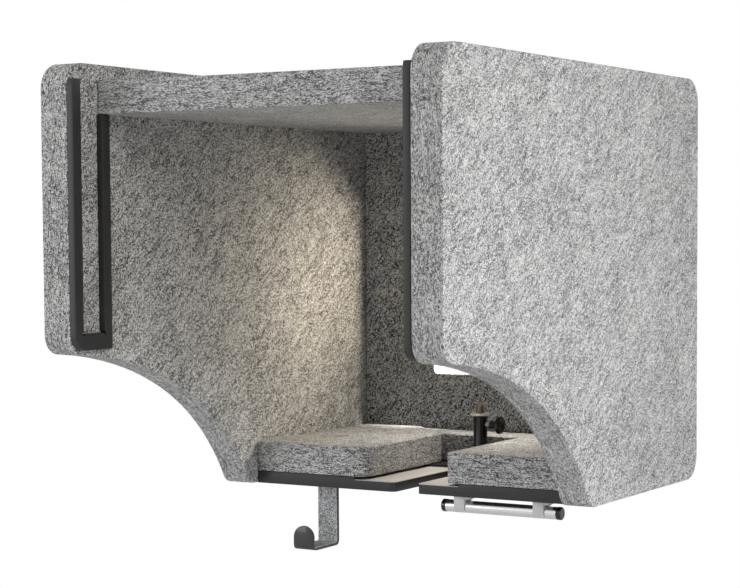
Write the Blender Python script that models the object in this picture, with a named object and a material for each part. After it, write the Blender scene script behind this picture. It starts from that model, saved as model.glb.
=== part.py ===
"""Vocal booth: two felt side panels, a ceiling and a back wall over a slotted floor board.

Metres, +Z up, +X to the singer's right, +Y from the open front towards the back wall.
The origin is on the underside of the floor board, on the centre plane, just ahead of
the microphone post: the place where a stand carries the booth.
"""
from math import cos, hypot, pi, radians, sin, sqrt, tan

import bmesh
import bpy
from mathutils import Matrix, Vector

# Clearance that separate pieces keep from each other
GAP = 0.0003

# Felt boards and the booth's overall size
BOARD = 0.050
BOOTH_WIDTH = 0.684
BOOTH_HEIGHT = 0.680
BOOTH_DEPTH = 0.900
CORNER_R = 0.040
FELT_EDGE = 0.0022

# Shoulder cut under the front of each side panel
SHOULDER_TOP = 0.2465
SHOULDER_LEVEL_PULL = 0.315
SHOULDER_LEVEL_DROP = 0.0225
SHOULDER_FOOT_PULL = 0.041
SHOULDER_FOOT_RISE = 0.080
SHOULDER_FOOT_LEAD = 0.023
TOE_R = 0.030
FOOT_R = 0.025

# Ceiling panel
CEILING_DROP = 0.025
CEILING_CLEAR = 0.0018

# Guide frames that take a loose front panel
GUIDE_T = 0.011
GUIDE_FRONT_BAR = 0.019
GUIDE_REAR_BAR = 0.018
GUIDE_SLOT = 0.050
GUIDE_SILL = 0.025
GUIDE_BOTTOM_LIFT = 0.0045
GUIDE_CORNER_R = 0.025
GUIDE_HEEL_R = 0.003
GUIDE_RELIEF_R = 0.0032

# Floor board with its slot and shallow recess
FLOOR_T = 0.020
FLOOR_SETBACK = 0.489
SLOT_WIDTH = 0.041
SLOT_MOUTH_R = 0.010
SLOT_END_LEAD = 0.035
RECESS_WIDTH = 0.196
RECESS_DEPTH = 0.005
RECESS_END_LEAD = 0.008
SHEET_T = 0.001

# Felt pads on the floor board
PAD_SPACE = 0.150
LEFT_NOSE_R = 0.025
RIGHT_NOSE_R = 0.008
PAD_CORNER_R = 0.004
PAD_MITRE_LEAD = 0.024
BACK_PAD_T = 0.0472
BACK_PAD_DEPTH = 0.080
BACK_PAD_SIDE_GAP = 0.003

# Window in the back wall
WINDOW_WIDTH = 0.296
WINDOW_HEIGHT = 0.300
WINDOW_SILL = 0.1675
WINDOW_R = 0.008
PANE_T = 0.004
PANE_LAP = 0.010

# Microphone post
STAND_TO_POST = 0.035
POST_TO_BACK_PAD = 0.020
POST_D = 0.024
POST_TOP = 0.1042
POST_FOOT_D = 0.036
POST_FOOT_T = 0.005
POST_PLUG = 0.018
POST_RIM = 0.0015
ROD_D = 0.0176
ROD_TAIL_CLEAR = 0.003
STUD_D = 0.0159
STUD_RISE = 0.021
RING_D = 0.035
RING_T = 0.005
RING_LIFT = 0.0008
RING_NOTCHES = 20
RING_NOTCH_DEPTH = 0.0006
BOLT_D = 0.008
BOLT_HEAD_D = 0.014
BOLT_HEAD_T = 0.0045
BOLT_REACH = 0.011
WASHER_D = 0.024
WASHER_T = 0.0016

# Clamp screw and its knob on the post's side
CLAMP_DROP = 0.0145
CLAMP_D = 0.008
CLAMP_SHOWN = 0.008
CLAMP_IN_KNOB = 0.012
KNOB_NECK_D = 0.014
KNOB_NECK_L = 0.0145
KNOB_D = 0.0315
KNOB_T = 0.007
KNOB_LOBES = 8
KNOB_LOBE_DEPTH = 0.0008

# Headphone hook under the floor board
HOOK_WIDTH = 0.040
HOOK_T = 0.003
HOOK_BEND_R = 0.006
HOOK_INSET = 0.112
HOOK_SETBACK = 0.051
HOOK_REACH = 0.080
HOOK_DROP = 0.104
HOOK_LIP = 0.041
HOOK_FLANGE = 0.040
HOOK_SCREW_SPACING = 0.020
LINING_T = 0.0025
LINING_MARGIN = 0.0012

# Accessory tube in two snap clips
TUBE_D = 0.020
TUBE_WALL = 0.0015
TUBE_DROP = 0.018
TUBE_SETBACK = 0.019
TUBE_SPAN = 0.2135
TUBE_END_INSET = 0.0185
CAP_LIP = 0.008
CAP_LIP_RISE = 0.0004
CAP_SPIGOT = 0.014
CLIP_WIDTH = 0.018
CLIP_WALL = 0.0024
CLIP_JAW_DEG = 48.0
CLIP_INSET = 0.035
CLIP_SPACING = 0.1415
CLIP_FOOT = 0.0095
CLIP_FOOT_T = 0.0042

# Small screws and the dowels between the boards
SCREW_D = 0.004
SCREW_HEAD_D = 0.008
SCREW_HEAD_T = 0.0024
SCREW_LENGTH = 0.015
DOWEL_D = 0.010
DOWEL_LENGTH = 0.060
DOWEL_END_MARGIN = 0.110
FLOOR_DOWEL_D = 0.008
FLOOR_DOWEL_MARGIN = 0.060
BACK_DOWEL_LOW = 0.120
BACK_DOWEL_TOP_MARGIN = 0.120

# Finishes: linear colour, roughness, metallic
FELT = ((0.28, 0.28, 0.285), 0.95, 0.0)
BLACK_BOARD = ((0.035, 0.035, 0.038), 0.55, 0.0)
PALE_SHEET = ((0.55, 0.54, 0.51), 0.45, 0.0)
BLACK_STEEL = ((0.03, 0.03, 0.03), 0.45, 0.3)
BRIGHT_STEEL = ((0.65, 0.65, 0.64), 0.25, 1.0)
NICKEL = ((0.70, 0.66, 0.60), 0.30, 1.0)
BLACK_PLASTIC = ((0.02, 0.02, 0.02), 0.40, 0.0)
CLIP_PLASTIC = ((0.60, 0.60, 0.59), 0.45, 0.0)
CLEAR_PANE = ((0.90, 0.93, 0.93), 0.05, 0.0)
BEECH = ((0.48, 0.33, 0.19), 0.60, 0.0)

# Places that follow from the sizes above
POST_Y = STAND_TO_POST
BACK_PAD_FRONT = POST_Y + POST_TO_BACK_PAD
BACK_FACE = BACK_PAD_FRONT + BACK_PAD_DEPTH + GAP
REAR = BACK_FACE + BOARD
FRONT = REAR - BOOTH_DEPTH
WALL_X = BOOTH_WIDTH / 2 - BOARD
CEILING_TOP = BOOTH_HEIGHT - CEILING_DROP
CEILING_UNDER = CEILING_TOP - BOARD
CEILING_FRONT = FRONT + GUIDE_FRONT_BAR + GUIDE_SLOT + CEILING_CLEAR
FLOOR_FRONT = FRONT + FLOOR_SETBACK
SLOT_END = -SLOT_END_LEAD
RECESS_END = -RECESS_END_LEAD
POST_BORE_D = ROD_D + 2 * GAP
CLAMP_Z = POST_TOP - CLAMP_DROP


def rounded(corners, steps=6):
    """Outline through (a, b, radius) corners, each rounded by its own radius."""
    points = []
    count = len(corners)
    for i, (a, b, radius) in enumerate(corners):
        here = Vector((a, b))
        if radius <= 0.0:
            points.append(here)
            continue
        before = (Vector(corners[i - 1][:2]) - here)
        after = (Vector(corners[(i + 1) % count][:2]) - here)
        half = before.angle(after) / 2
        reach = min(radius / tan(half), 0.49 * before.length, 0.49 * after.length)
        radius = reach * tan(half)
        middle = here + (before.normalized() + after.normalized()).normalized() * radius / sin(half)
        start = here + before.normalized() * reach - middle
        end = here + after.normalized() * reach - middle
        sweep = start.angle_signed(end)
        for k in range(steps + 1):
            turned = start.copy()
            turned.rotate(Matrix.Rotation(-sweep * k / steps, 2))
            points.append(middle + turned)
    return points


def arc(centre, radius, start_deg, end_deg, steps):
    """Points of a circular arc, both ends included."""
    angles = [radians(start_deg + (end_deg - start_deg) * k / steps) for k in range(steps + 1)]
    return [Vector((centre[0] + radius * cos(t), centre[1] + radius * sin(t))) for t in angles]


def place_2d(a, b, along, axis):
    """A point of an outline drawn across one axis, at a distance along that axis."""
    if axis == "X":
        return (along, a, b)
    if axis == "Y":
        return (a, along, b)
    return (a, b, along)


def prism(outline, axis, low, high):
    """Mesh of a flat outline extruded along an axis."""
    shape = bmesh.new()
    ring = [shape.verts.new(place_2d(p[0], p[1], low, axis)) for p in outline]
    face = shape.faces.new(ring)
    grown = bmesh.ops.extrude_face_region(shape, geom=[face])
    moved = [g for g in grown["geom"] if isinstance(g, bmesh.types.BMVert)]
    step = Vector(place_2d(0.0, 0.0, high - low, axis))
    bmesh.ops.translate(shape, vec=step, verts=moved)
    return closed_mesh(shape)


def turned(profile, segments=32, axis="Z", ripple=None):
    """Mesh of a (radius, height) profile turned about an axis.

    A profile that starts and ends at radius 0 gives a solid; any other is a ring and
    closes on itself. ripple(radius, height, angle) can change a point's radius.
    """
    shape = bmesh.new()
    solid = profile[0][0] == 0.0 and profile[-1][0] == 0.0
    rings = []
    for radius, height in profile:
        if radius == 0.0:
            rings.append([shape.verts.new(along_axis(0.0, 0.0, height, axis))])
            continue
        ring = []
        for k in range(segments):
            angle = 2 * pi * k / segments
            r = ripple(radius, height, angle) if ripple else radius
            ring.append(shape.verts.new(along_axis(r * cos(angle), r * sin(angle), height, axis)))
        rings.append(ring)
    pairs = list(zip(rings, rings[1:]))
    if not solid:
        pairs.append((rings[-1], rings[0]))
    for lower, upper in pairs:
        for k in range(segments):
            n = (k + 1) % segments
            if len(lower) == 1:
                shape.faces.new((lower[0], upper[k], upper[n]))
            elif len(upper) == 1:
                shape.faces.new((lower[k], lower[n], upper[0]))
            else:
                shape.faces.new((lower[k], lower[n], upper[n], upper[k]))
    return closed_mesh(shape)


def along_axis(u, v, height, axis):
    """A point at height along an axis, with u and v across it."""
    if axis == "X":
        return (height, u, v)
    if axis == "Y":
        return (v, height, u)
    return (u, v, height)


def closed_mesh(shape):
    """Finish a bmesh as a mesh whose faces point out."""
    bmesh.ops.recalc_face_normals(shape, faces=shape.faces)
    if shape.calc_volume(signed=True) < 0:
        bmesh.ops.reverse_faces(shape, faces=shape.faces)
    mesh = bpy.data.meshes.new("piece")
    shape.to_mesh(mesh)
    shape.free()
    return mesh


def finish(name, look):
    """The material of one piece."""
    colour, roughness, metallic = look
    made = bpy.data.materials.new(name)
    made.use_nodes = True
    shader = made.node_tree.nodes["Principled BSDF"]
    shader.inputs["Base Color"].default_value = (*colour, 1.0)
    shader.inputs["Roughness"].default_value = roughness
    shader.inputs["Metallic"].default_value = metallic
    made.diffuse_color = (*colour, 1.0)
    return made


def piece(name, mesh, look, at=(0.0, 0.0, 0.0), parent=None, smooth=False):
    """Put one finished piece in the scene."""
    made = bpy.data.objects.new(name, mesh)
    bpy.context.scene.collection.objects.link(made)
    mesh.name = name
    if not mesh.materials:
        mesh.materials.append(finish(name + "_finish", look))
    if smooth:
        mesh.shade_smooth()
        mesh.set_sharp_from_angle(angle=radians(35))
    made.location = at
    made.parent = parent
    return made


def cutter(name, mesh, at=(0.0, 0.0, 0.0)):
    """A tool for cuts and joins, which isn't a piece of the booth."""
    made = bpy.data.objects.new(name, mesh)
    bpy.context.scene.collection.objects.link(made)
    made.location = at
    made.hide_render = True
    made.display_type = "WIRE"
    return made


def boolean(target, tool, operation="DIFFERENCE"):
    """Cut one piece by a tool, or join the tool to it."""
    change = target.modifiers.new(tool.name, "BOOLEAN")
    change.operation = operation
    change.solver = "EXACT"
    change.object = tool


def soften(target, width, segments=2):
    """Round a felt board's cut edges a little."""
    change = target.modifiers.new("felt_edge", "BEVEL")
    change.width = width
    change.segments = segments
    change.limit_method = "ANGLE"
    change.angle_limit = radians(50)


def clear_scene():
    """Start from an empty scene."""
    for old in list(bpy.data.objects):
        bpy.data.objects.remove(old, do_unlink=True)


def side_outline():
    """Side panel seen from the side, as (depth from the front, height)."""
    foot = FLOOR_SETBACK - SHOULDER_FOOT_LEAD
    start = Vector((0.0, SHOULDER_TOP))
    level = Vector((SHOULDER_LEVEL_PULL, SHOULDER_TOP - SHOULDER_LEVEL_DROP))
    rise = Vector((foot - SHOULDER_FOOT_PULL, SHOULDER_FOOT_RISE))
    end = Vector((foot, 0.0))
    steps = 26
    curve = []
    for k in range(1, steps):
        t = k / steps
        point = ((1 - t) ** 3 * start + 3 * t * (1 - t) ** 2 * level
                 + 3 * t ** 2 * (1 - t) * rise + t ** 3 * end)
        clear_of_toe = point.x > 1.35 * TOE_R
        clear_of_foot = (point - end).length > 1.1 * FOOT_R
        if clear_of_toe and clear_of_foot:
            curve.append((point.x, point.y, 0.0))
    corners = [(0.0, BOOTH_HEIGHT, CORNER_R), (0.0, SHOULDER_TOP, TOE_R)]
    corners += curve
    corners += [(foot, 0.0, FOOT_R), (BOOTH_DEPTH, 0.0, CORNER_R),
                (BOOTH_DEPTH, BOOTH_HEIGHT, CORNER_R)]
    return rounded(corners, steps=8)


def side_panel(name, side, booth):
    """Felt side panel; side is -1 on the left and +1 on the right."""
    inner = 0.0
    outer = side * BOARD
    mesh = prism(side_outline(), "X", min(inner, outer), max(inner, outer))
    made = piece(name, mesh, FELT, (side * WALL_X, FRONT, 0.0), booth, smooth=True)
    soften(made, FELT_EDGE)
    return made


def ceiling_panel(booth):
    """Felt ceiling between the side panels and ahead of the back wall."""
    half = WALL_X - GAP
    outline = rounded([(-half, CEILING_FRONT, 0.0), (half, CEILING_FRONT, 0.0),
                       (half, BACK_FACE - GAP, 0.0), (-half, BACK_FACE - GAP, 0.0)])
    mesh = prism(outline, "Z", 0.0, BOARD)
    made = piece("ceiling_panel", mesh, FELT, (0.0, 0.0, CEILING_UNDER), booth)
    soften(made, FELT_EDGE)
    return made


def back_panel(booth):
    """Felt back wall with a window opening and a rebate for its pane."""
    half = WALL_X - GAP
    outline = rounded([(-half, 0.0, 0.0), (half, 0.0, 0.0),
                       (half, CEILING_TOP, 0.0), (-half, CEILING_TOP, 0.0)])
    mesh = prism(outline, "Y", 0.0, BOARD)
    made = piece("back_panel", mesh, FELT, (0.0, BACK_FACE, 0.0), booth)
    soften(made, FELT_EDGE)
    boolean(made, cutter("window_cutter", prism(window_outline(0.0), "Y", -0.01, BOARD + 0.01),
                         (0.0, BACK_FACE, 0.0)))
    boolean(made, cutter("rebate_cutter", prism(window_outline(PANE_LAP), "Y", 0.0, 0.02),
                         (0.0, REAR - PANE_T - GAP, 0.0)))
    return made


def window_outline(grow):
    """Window outline, made larger all round by grow."""
    half = WINDOW_WIDTH / 2 + grow
    low = WINDOW_SILL - grow
    high = WINDOW_SILL + WINDOW_HEIGHT + grow
    radius = WINDOW_R + grow
    return rounded([(-half, low, radius), (half, low, radius),
                    (half, high, radius), (-half, high, radius)])


def window_pane(booth):
    """Clear pane let into the outer face of the back wall."""
    mesh = prism(window_outline(PANE_LAP - GAP), "Y", 0.0, PANE_T)
    return piece("window_pane", mesh, CLEAR_PANE, (0.0, REAR - PANE_T, 0.0), booth)


def guide_outline():
    """Guide frame from the side, as (depth from the front, height), with open slot at the top."""
    bottom = SHOULDER_TOP + GUIDE_BOTTOM_LIFT
    sill = bottom + GUIDE_SILL
    slot_front = GUIDE_FRONT_BAR
    slot_rear = slot_front + GUIDE_SLOT
    heel = slot_rear + GUIDE_REAR_BAR
    crown = CEILING_TOP - GAP
    rear_top = CEILING_UNDER - GAP
    rise = crown - (BOOTH_HEIGHT - CORNER_R)
    points = []
    if rise > 0:
        steps = 4
        for k in range(steps + 1):
            up = rise * (1 - k / steps)
            inset = CORNER_R - sqrt(max(CORNER_R ** 2 - up ** 2, 0.0))
            points.append(Vector((inset, BOOTH_HEIGHT - CORNER_R + up)))
    else:
        points.append(Vector((0.0, crown)))
    lower = [(0.0, bottom + 2 * GUIDE_CORNER_R, 0.0), (0.0, bottom, GUIDE_CORNER_R),
             (heel, bottom, GUIDE_HEEL_R), (heel, rear_top, 0.0), (slot_rear, rear_top, 0.0),
             (slot_rear, sill + 2 * GUIDE_RELIEF_R, 0.0)]
    points += rounded(lower, steps=6)[1:]
    points += arc((slot_rear, sill), GUIDE_RELIEF_R, 90, -180, 9)
    points += arc((slot_front, sill), GUIDE_RELIEF_R, 0, -270, 9)
    points.append(Vector((slot_front, sill + 2 * GUIDE_RELIEF_R)))
    points.append(Vector((slot_front, crown)))
    return points


def guide_frame(name, side, booth):
    """Black one-piece guide frame on the inner face of a side panel."""
    near = -side * GAP
    far = -side * (GAP + GUIDE_T)
    mesh = prism(guide_outline(), "X", min(near, far), max(near, far))
    return piece(name, mesh, BLACK_BOARD, (side * WALL_X, FRONT, 0.0), booth)


def slotted_outline(half_width, rear, corner_r):
    """Plan of a board that is slotted from its front edge, as (x, y)."""
    half_slot = SLOT_WIDTH / 2
    centre_y = SLOT_END - half_slot
    left = rounded([(-half_width, rear, 0.0), (-half_width, FLOOR_FRONT, corner_r),
                    (-half_slot, FLOOR_FRONT, SLOT_MOUTH_R), (-half_slot, centre_y, 0.0)])
    end = arc((0.0, centre_y), half_slot, 180, 0, 12)[1:-1]
    right = [Vector((-p.x, p.y)) for p in reversed(left)]
    return left + end + right


def floor_board(booth):
    """Black floor board, slotted from the front, with a shallow recess round the slot."""
    outline = slotted_outline(WALL_X - GAP, BACK_FACE - GAP, 0.003)
    made = piece("floor_board", prism(outline, "Z", 0.0, FLOOR_T), BLACK_BOARD, parent=booth)
    half = RECESS_WIDTH / 2
    recess = [(-half, FLOOR_FRONT - 0.01), (half, FLOOR_FRONT - 0.01),
              (half, RECESS_END), (-half, RECESS_END)]
    boolean(made, cutter("recess_cutter", prism(recess, "Z", FLOOR_T - RECESS_DEPTH, FLOOR_T + 0.01)))
    hole = turned([(0.0, -0.01), (BOLT_D / 2 + GAP, -0.01),
                   (BOLT_D / 2 + GAP, FLOOR_T + 0.01), (0.0, FLOOR_T + 0.01)], 24)
    boolean(made, cutter("post_bolt_hole", hole, (0.0, POST_Y, 0.0)))
    return made


def recess_sheet(booth):
    """Thin pale sheet that lies in the floor board's recess."""
    outline = slotted_outline(RECESS_WIDTH / 2 - GAP, RECESS_END - GAP, 0.001)
    low = FLOOR_T - RECESS_DEPTH + GAP
    return piece("recess_sheet", prism(outline, "Z", 0.0, SHEET_T), PALE_SHEET, (0.0, 0.0, low), booth)


def floor_pad(name, side, nose_r, booth):
    """Felt pad on one side of the floor board, with a rounded nose and a mitred inner rear corner."""
    wall = side * (WALL_X - GAP)
    nose = side * PAD_SPACE / 2
    rear = BACK_FACE - GAP
    mitre_front = BACK_PAD_FRONT - PAD_MITRE_LEAD
    outline = rounded([(wall, FLOOR_FRONT, PAD_CORNER_R), (nose, FLOOR_FRONT, nose_r),
                       (nose, mitre_front, PAD_CORNER_R),
                       (nose + side * (rear - mitre_front), rear, PAD_CORNER_R), (wall, rear, PAD_CORNER_R)])
    mesh = prism(outline, "Z", 0.0, BOARD)
    made = piece(name, mesh, FELT, (0.0, 0.0, FLOOR_T + GAP), booth, smooth=True)
    soften(made, FELT_EDGE)
    return made


def back_floor_pad(booth):
    """Felt pad behind the microphone post, with mitred ends against the side pads."""
    front_half = PAD_SPACE / 2 + PAD_MITRE_LEAD - BACK_PAD_SIDE_GAP
    rear = BACK_FACE - GAP
    rear_half = front_half + rear - BACK_PAD_FRONT
    outline = rounded([(-front_half, BACK_PAD_FRONT, PAD_CORNER_R), (front_half, BACK_PAD_FRONT, PAD_CORNER_R),
                       (rear_half, rear, PAD_CORNER_R), (-rear_half, rear, PAD_CORNER_R)])
    mesh = prism(outline, "Z", 0.0, BACK_PAD_T)
    made = piece("back_floor_pad", mesh, FELT, (0.0, 0.0, FLOOR_T + GAP), booth, smooth=True)
    soften(made, FELT_EDGE)
    return made


def post_tube(booth):
    """Black post with a round foot, bored from the top for the rod and from below for its bolt."""
    foot = FLOOR_T + GAP
    floor = foot + POST_PLUG
    outer = POST_D / 2
    bore = POST_BORE_D / 2
    tap = BOLT_D / 2 + GAP
    tap_top = foot + BOLT_REACH + 0.002
    body = turned([(0.0, foot), (POST_FOOT_D / 2, foot), (POST_FOOT_D / 2, foot + POST_FOOT_T - 0.001),
                   (POST_FOOT_D / 2 - 0.001, foot + POST_FOOT_T), (outer, foot + POST_FOOT_T),
                   (outer, POST_TOP - POST_RIM), (outer - POST_RIM, POST_TOP),
                   (bore, POST_TOP), (bore, floor), (0.0, floor)], 32)
    made = piece("mic_post_tube", body, BLACK_STEEL, (0.0, POST_Y, 0.0), booth, smooth=True)
    thread = turned([(0.0, foot - 0.01), (tap, foot - 0.01), (tap, tap_top), (0.0, tap_top)], 24)
    boolean(made, cutter("post_tap", thread, (0.0, POST_Y, 0.0)))
    reach = POST_D
    side_hole = turned([(0.0, 0.0), (CLAMP_D / 2 + GAP, 0.0), (CLAMP_D / 2 + GAP, reach), (0.0, reach)],
                       24, "X")
    boolean(made, cutter("clamp_hole", side_hole, (0.0, POST_Y, CLAMP_Z)))
    return made


def post_fasteners(booth):
    """Bolt and washer that hold the post's foot from under the floor board."""
    shank = BOLT_D / 2
    under = -GAP
    ring = turned([(shank + GAP, under - WASHER_T), (WASHER_D / 2, under - WASHER_T),
                   (WASHER_D / 2, under), (shank + GAP, under)], 32)
    piece("post_washer", ring, BRIGHT_STEEL, (0.0, POST_Y, 0.0), booth, smooth=True)
    seat = under - WASHER_T - GAP
    tip = FLOOR_T + GAP + BOLT_REACH
    head = BOLT_HEAD_D / 2
    bolt = turned([(0.0, seat - BOLT_HEAD_T), (head - 0.001, seat - BOLT_HEAD_T),
                   (head, seat - BOLT_HEAD_T + 0.001), (head, seat), (shank, seat),
                   (shank, tip - 0.001), (shank - 0.001, tip), (0.0, tip)], 24)
    piece("post_bolt", bolt, BRIGHT_STEEL, (0.0, POST_Y, 0.0), booth, smooth=True)


def mic_rod(booth):
    """Rod that slides in the post, with the microphone thread on top."""
    low = FLOOR_T + GAP + POST_PLUG + ROD_TAIL_CLEAR
    shoulder = POST_TOP - 0.0005
    top = POST_TOP + STUD_RISE
    stud = STUD_D / 2
    body = turned([(0.0, low), (ROD_D / 2 - 0.001, low), (ROD_D / 2, low + 0.001),
                   (ROD_D / 2, shoulder), (stud, shoulder), (stud, top - 0.001),
                   (stud - 0.001, top), (0.0, top)], 32)
    return piece("mic_rod", body, NICKEL, (0.0, POST_Y, 0.0), booth, smooth=True)


def lock_ring(rod):
    """Notched ring on the rod's thread, which locks a microphone clip."""
    low = POST_TOP + RING_LIFT
    rim = RING_D / 2
    bore = STUD_D / 2 + GAP

    def notches(radius, height, angle):
        if radius < rim - 0.0005:
            return radius
        return radius - RING_NOTCH_DEPTH * (0.5 + 0.5 * cos(RING_NOTCHES * angle))

    body = turned([(bore, low), (rim - 0.0008, low), (rim, low + 0.0008),
                   (rim, low + RING_T - 0.0008), (rim - 0.0008, low + RING_T), (bore, low + RING_T)],
                  RING_NOTCHES * 3, ripple=notches)
    return piece("lock_ring", body, NICKEL, (0.0, 0.0, 0.0), rod, smooth=True)


def clamp(booth):
    """Clamp screw through the post's wall and the round knob on it."""
    axis_at = bpy.data.objects.new("clamp_axis", None)
    bpy.context.scene.collection.objects.link(axis_at)
    axis_at.location = (0.0, POST_Y, CLAMP_Z)
    axis_at.parent = booth
    tip = ROD_D / 2 + GAP
    shown_end = POST_D / 2 + CLAMP_SHOWN
    end = shown_end + CLAMP_IN_KNOB
    core = CLAMP_D / 2
    screw = turned([(0.0, tip), (core - 0.001, tip), (core, tip + 0.001),
                    (core, end), (0.0, end)], 24, "X")
    piece("clamp_screw", screw, BRIGHT_STEEL, parent=axis_at, smooth=True)
    hole = core + GAP
    neck = KNOB_NECK_D / 2
    disc = shown_end + KNOB_NECK_L
    back = disc + KNOB_T
    rim = KNOB_D / 2

    def lobes(radius, height, angle):
        if radius < 0.8 * rim:
            return radius
        return radius - KNOB_LOBE_DEPTH * (0.5 + 0.5 * cos(KNOB_LOBES * angle))

    inner = shown_end + CLAMP_IN_KNOB + GAP
    knob = turned([(0.0, inner), (hole, inner), (hole, shown_end), (neck - 0.001, shown_end),
                   (neck, shown_end + 0.001), (neck, disc - 0.002), (neck + 0.002, disc),
                   (rim - 0.0015, disc), (rim, disc + 0.0015), (rim, back - 0.0015),
                   (rim - 0.0015, back), (0.0, back)], KNOB_LOBES * 6, "X", ripple=lobes)
    piece("clamp_knob", knob, BLACK_PLASTIC, parent=axis_at, smooth=True)


def hook_path(inset, thickness, lip_top, flange):
    """Side view of a strip bent as the hook, as (y, z); inset moves it inwards."""
    rear = FLOOR_FRONT + HOOK_SETBACK - inset
    front = FLOOR_FRONT + HOOK_SETBACK - HOOK_REACH + inset
    low = -HOOK_DROP + inset
    outside = HOOK_BEND_R + thickness - inset
    inside = HOOK_BEND_R - inset
    top = -GAP
    if flange:
        head = [(rear + flange, top, 0.0), (rear + flange, top - thickness, 0.0),
                (rear, top - thickness, 0.002), (rear, low, outside)]
        tail = [(rear - thickness, top, thickness)]
    else:
        head = [(rear, top - inset, 0.0), (rear, low, outside)]
        tail = [(rear - thickness, top - inset, 0.0)]
    lip = [(front, low, outside), (front, lip_top, 0.0), (front + thickness, lip_top, 0.0),
           (front + thickness, low + thickness, inside), (rear - thickness, low + thickness, inside)]
    return rounded(head + lip + tail, steps=5)


def lip_cutter(name, width, lip_top, low_y, high_y, at_x):
    """Tool that rounds the top of the hook's lip to a half circle."""
    radius = width / 2
    centre = lip_top - radius
    outline = [Vector((radius + 0.01, centre)), Vector((radius + 0.01, lip_top + 0.01)),
               Vector((-radius - 0.01, lip_top + 0.01)), Vector((-radius - 0.01, centre))]
    outline += arc((0.0, centre), radius, 180, 0, 16)
    return cutter(name, prism(outline, "Y", low_y, high_y), (at_x, 0.0, 0.0))


def headphone_hook(booth):
    """Bent black strip under the floor board, its felt lining and its two screws."""
    at_x = -(WALL_X - HOOK_INSET)
    lip_top = -HOOK_DROP + HOOK_LIP
    half = HOOK_WIDTH / 2
    front = FLOOR_FRONT + HOOK_SETBACK - HOOK_REACH
    outline = hook_path(0.0, HOOK_T, lip_top, HOOK_FLANGE)
    strip = piece("headphone_hook", prism(outline, "X", -half, half), BLACK_STEEL,
                  (at_x, 0.0, 0.0), booth, smooth=True)
    boolean(strip, lip_cutter("hook_lip_cutter", HOOK_WIDTH, lip_top, front - 0.01,
                              front + HOOK_T + 0.01, at_x))
    inset = HOOK_T + GAP
    soft_half = half - LINING_MARGIN
    soft_top = lip_top - LINING_MARGIN
    lining = piece("hook_lining", prism(hook_path(inset, LINING_T, soft_top, 0.0), "X", -soft_half, soft_half),
                   FELT, (at_x, 0.0, 0.0), booth, smooth=True)
    boolean(lining, lip_cutter("lining_lip_cutter", 2 * soft_half, soft_top, front - 0.01,
                               front + inset + LINING_T + 0.01, at_x))
    screw_y = FLOOR_FRONT + HOOK_SETBACK + HOOK_FLANGE / 2
    return strip, [("hook_screw_left", at_x - HOOK_SCREW_SPACING / 2, screw_y, HOOK_T),
                   ("hook_screw_right", at_x + HOOK_SCREW_SPACING / 2, screw_y, HOOK_T)]


def accessory_tube(booth):
    """Bright tube under the floor board with its two end caps."""
    right_end = WALL_X - TUBE_END_INSET
    left_end = right_end - TUBE_SPAN
    at_y = FLOOR_FRONT + TUBE_SETBACK
    outer = TUBE_D / 2
    inner = outer - TUBE_WALL
    length = TUBE_SPAN - 2 * CAP_LIP
    mesh = turned([(inner, -length / 2), (outer, -length / 2), (outer, length / 2), (inner, length / 2)],
                  32, "X")
    middle = (left_end + right_end) / 2
    piece("accessory_tube", mesh, BRIGHT_STEEL, (middle, at_y, -TUBE_DROP), booth, smooth=True)
    lip = outer + CAP_LIP_RISE
    spigot = inner - GAP
    for name, end, way in (("tube_cap_left", left_end, 1), ("tube_cap_right", right_end, -1)):
        face = 0.0
        seat = CAP_LIP - GAP
        tip = CAP_LIP + CAP_SPIGOT
        profile = [(0.0, face), (lip - 0.002, face), (lip - 0.0006, face + 0.0006), (lip, face + 0.002),
                   (lip, seat), (spigot, seat), (spigot, tip), (0.0, tip)]
        cap = turned([(r, way * h) for r, h in profile], 32, "X")
        piece(name, cap, BLACK_PLASTIC, (end, at_y, -TUBE_DROP), booth, smooth=True)
    return left_end, at_y


def pipe_clips(booth, left_end, at_y):
    """Two plastic snap clips that hold the tube, each with a foot for one screw."""
    reach = TUBE_D / 2 + GAP
    shell = reach + CLIP_WALL
    jaw = CLIP_JAW_DEG
    top = -GAP
    outline = [Vector((shell, top)), Vector((-shell, top))]
    outline += arc((0.0, -TUBE_DROP), shell, 180, 270 - jaw, 5)
    outline += arc((0.0, -TUBE_DROP), reach, 270 - jaw, -90 + jaw, 24)
    outline += arc((0.0, -TUBE_DROP), shell, -90 + jaw, 0, 5)
    screws = []
    for index, name in enumerate(("pipe_clip_left", "pipe_clip_right")):
        at_x = left_end + CLIP_INSET + index * CLIP_SPACING
        band = piece(name, prism(outline, "X", -CLIP_WIDTH / 2, CLIP_WIDTH / 2), CLIP_PLASTIC,
                     (at_x, at_y, 0.0), booth, smooth=True)
        foot_end = CLIP_WIDTH / 2 + CLIP_FOOT
        foot = rounded([(0.0, -shell + 0.001, 0.0), (foot_end, -shell + 0.001, 0.003),
                        (foot_end, shell - 0.001, 0.003), (0.0, shell - 0.001, 0.0)], steps=4)
        boolean(band, cutter(name + "_foot", prism(foot, "Z", top - CLIP_FOOT_T, top - 0.0005),
                             (at_x, at_y, 0.0)), "UNION")
        screws.append((name.replace("pipe_clip", "clip_screw"), at_x + CLIP_WIDTH / 2 + CLIP_FOOT / 2,
                       at_y, CLIP_FOOT_T, band))
    return screws


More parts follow.
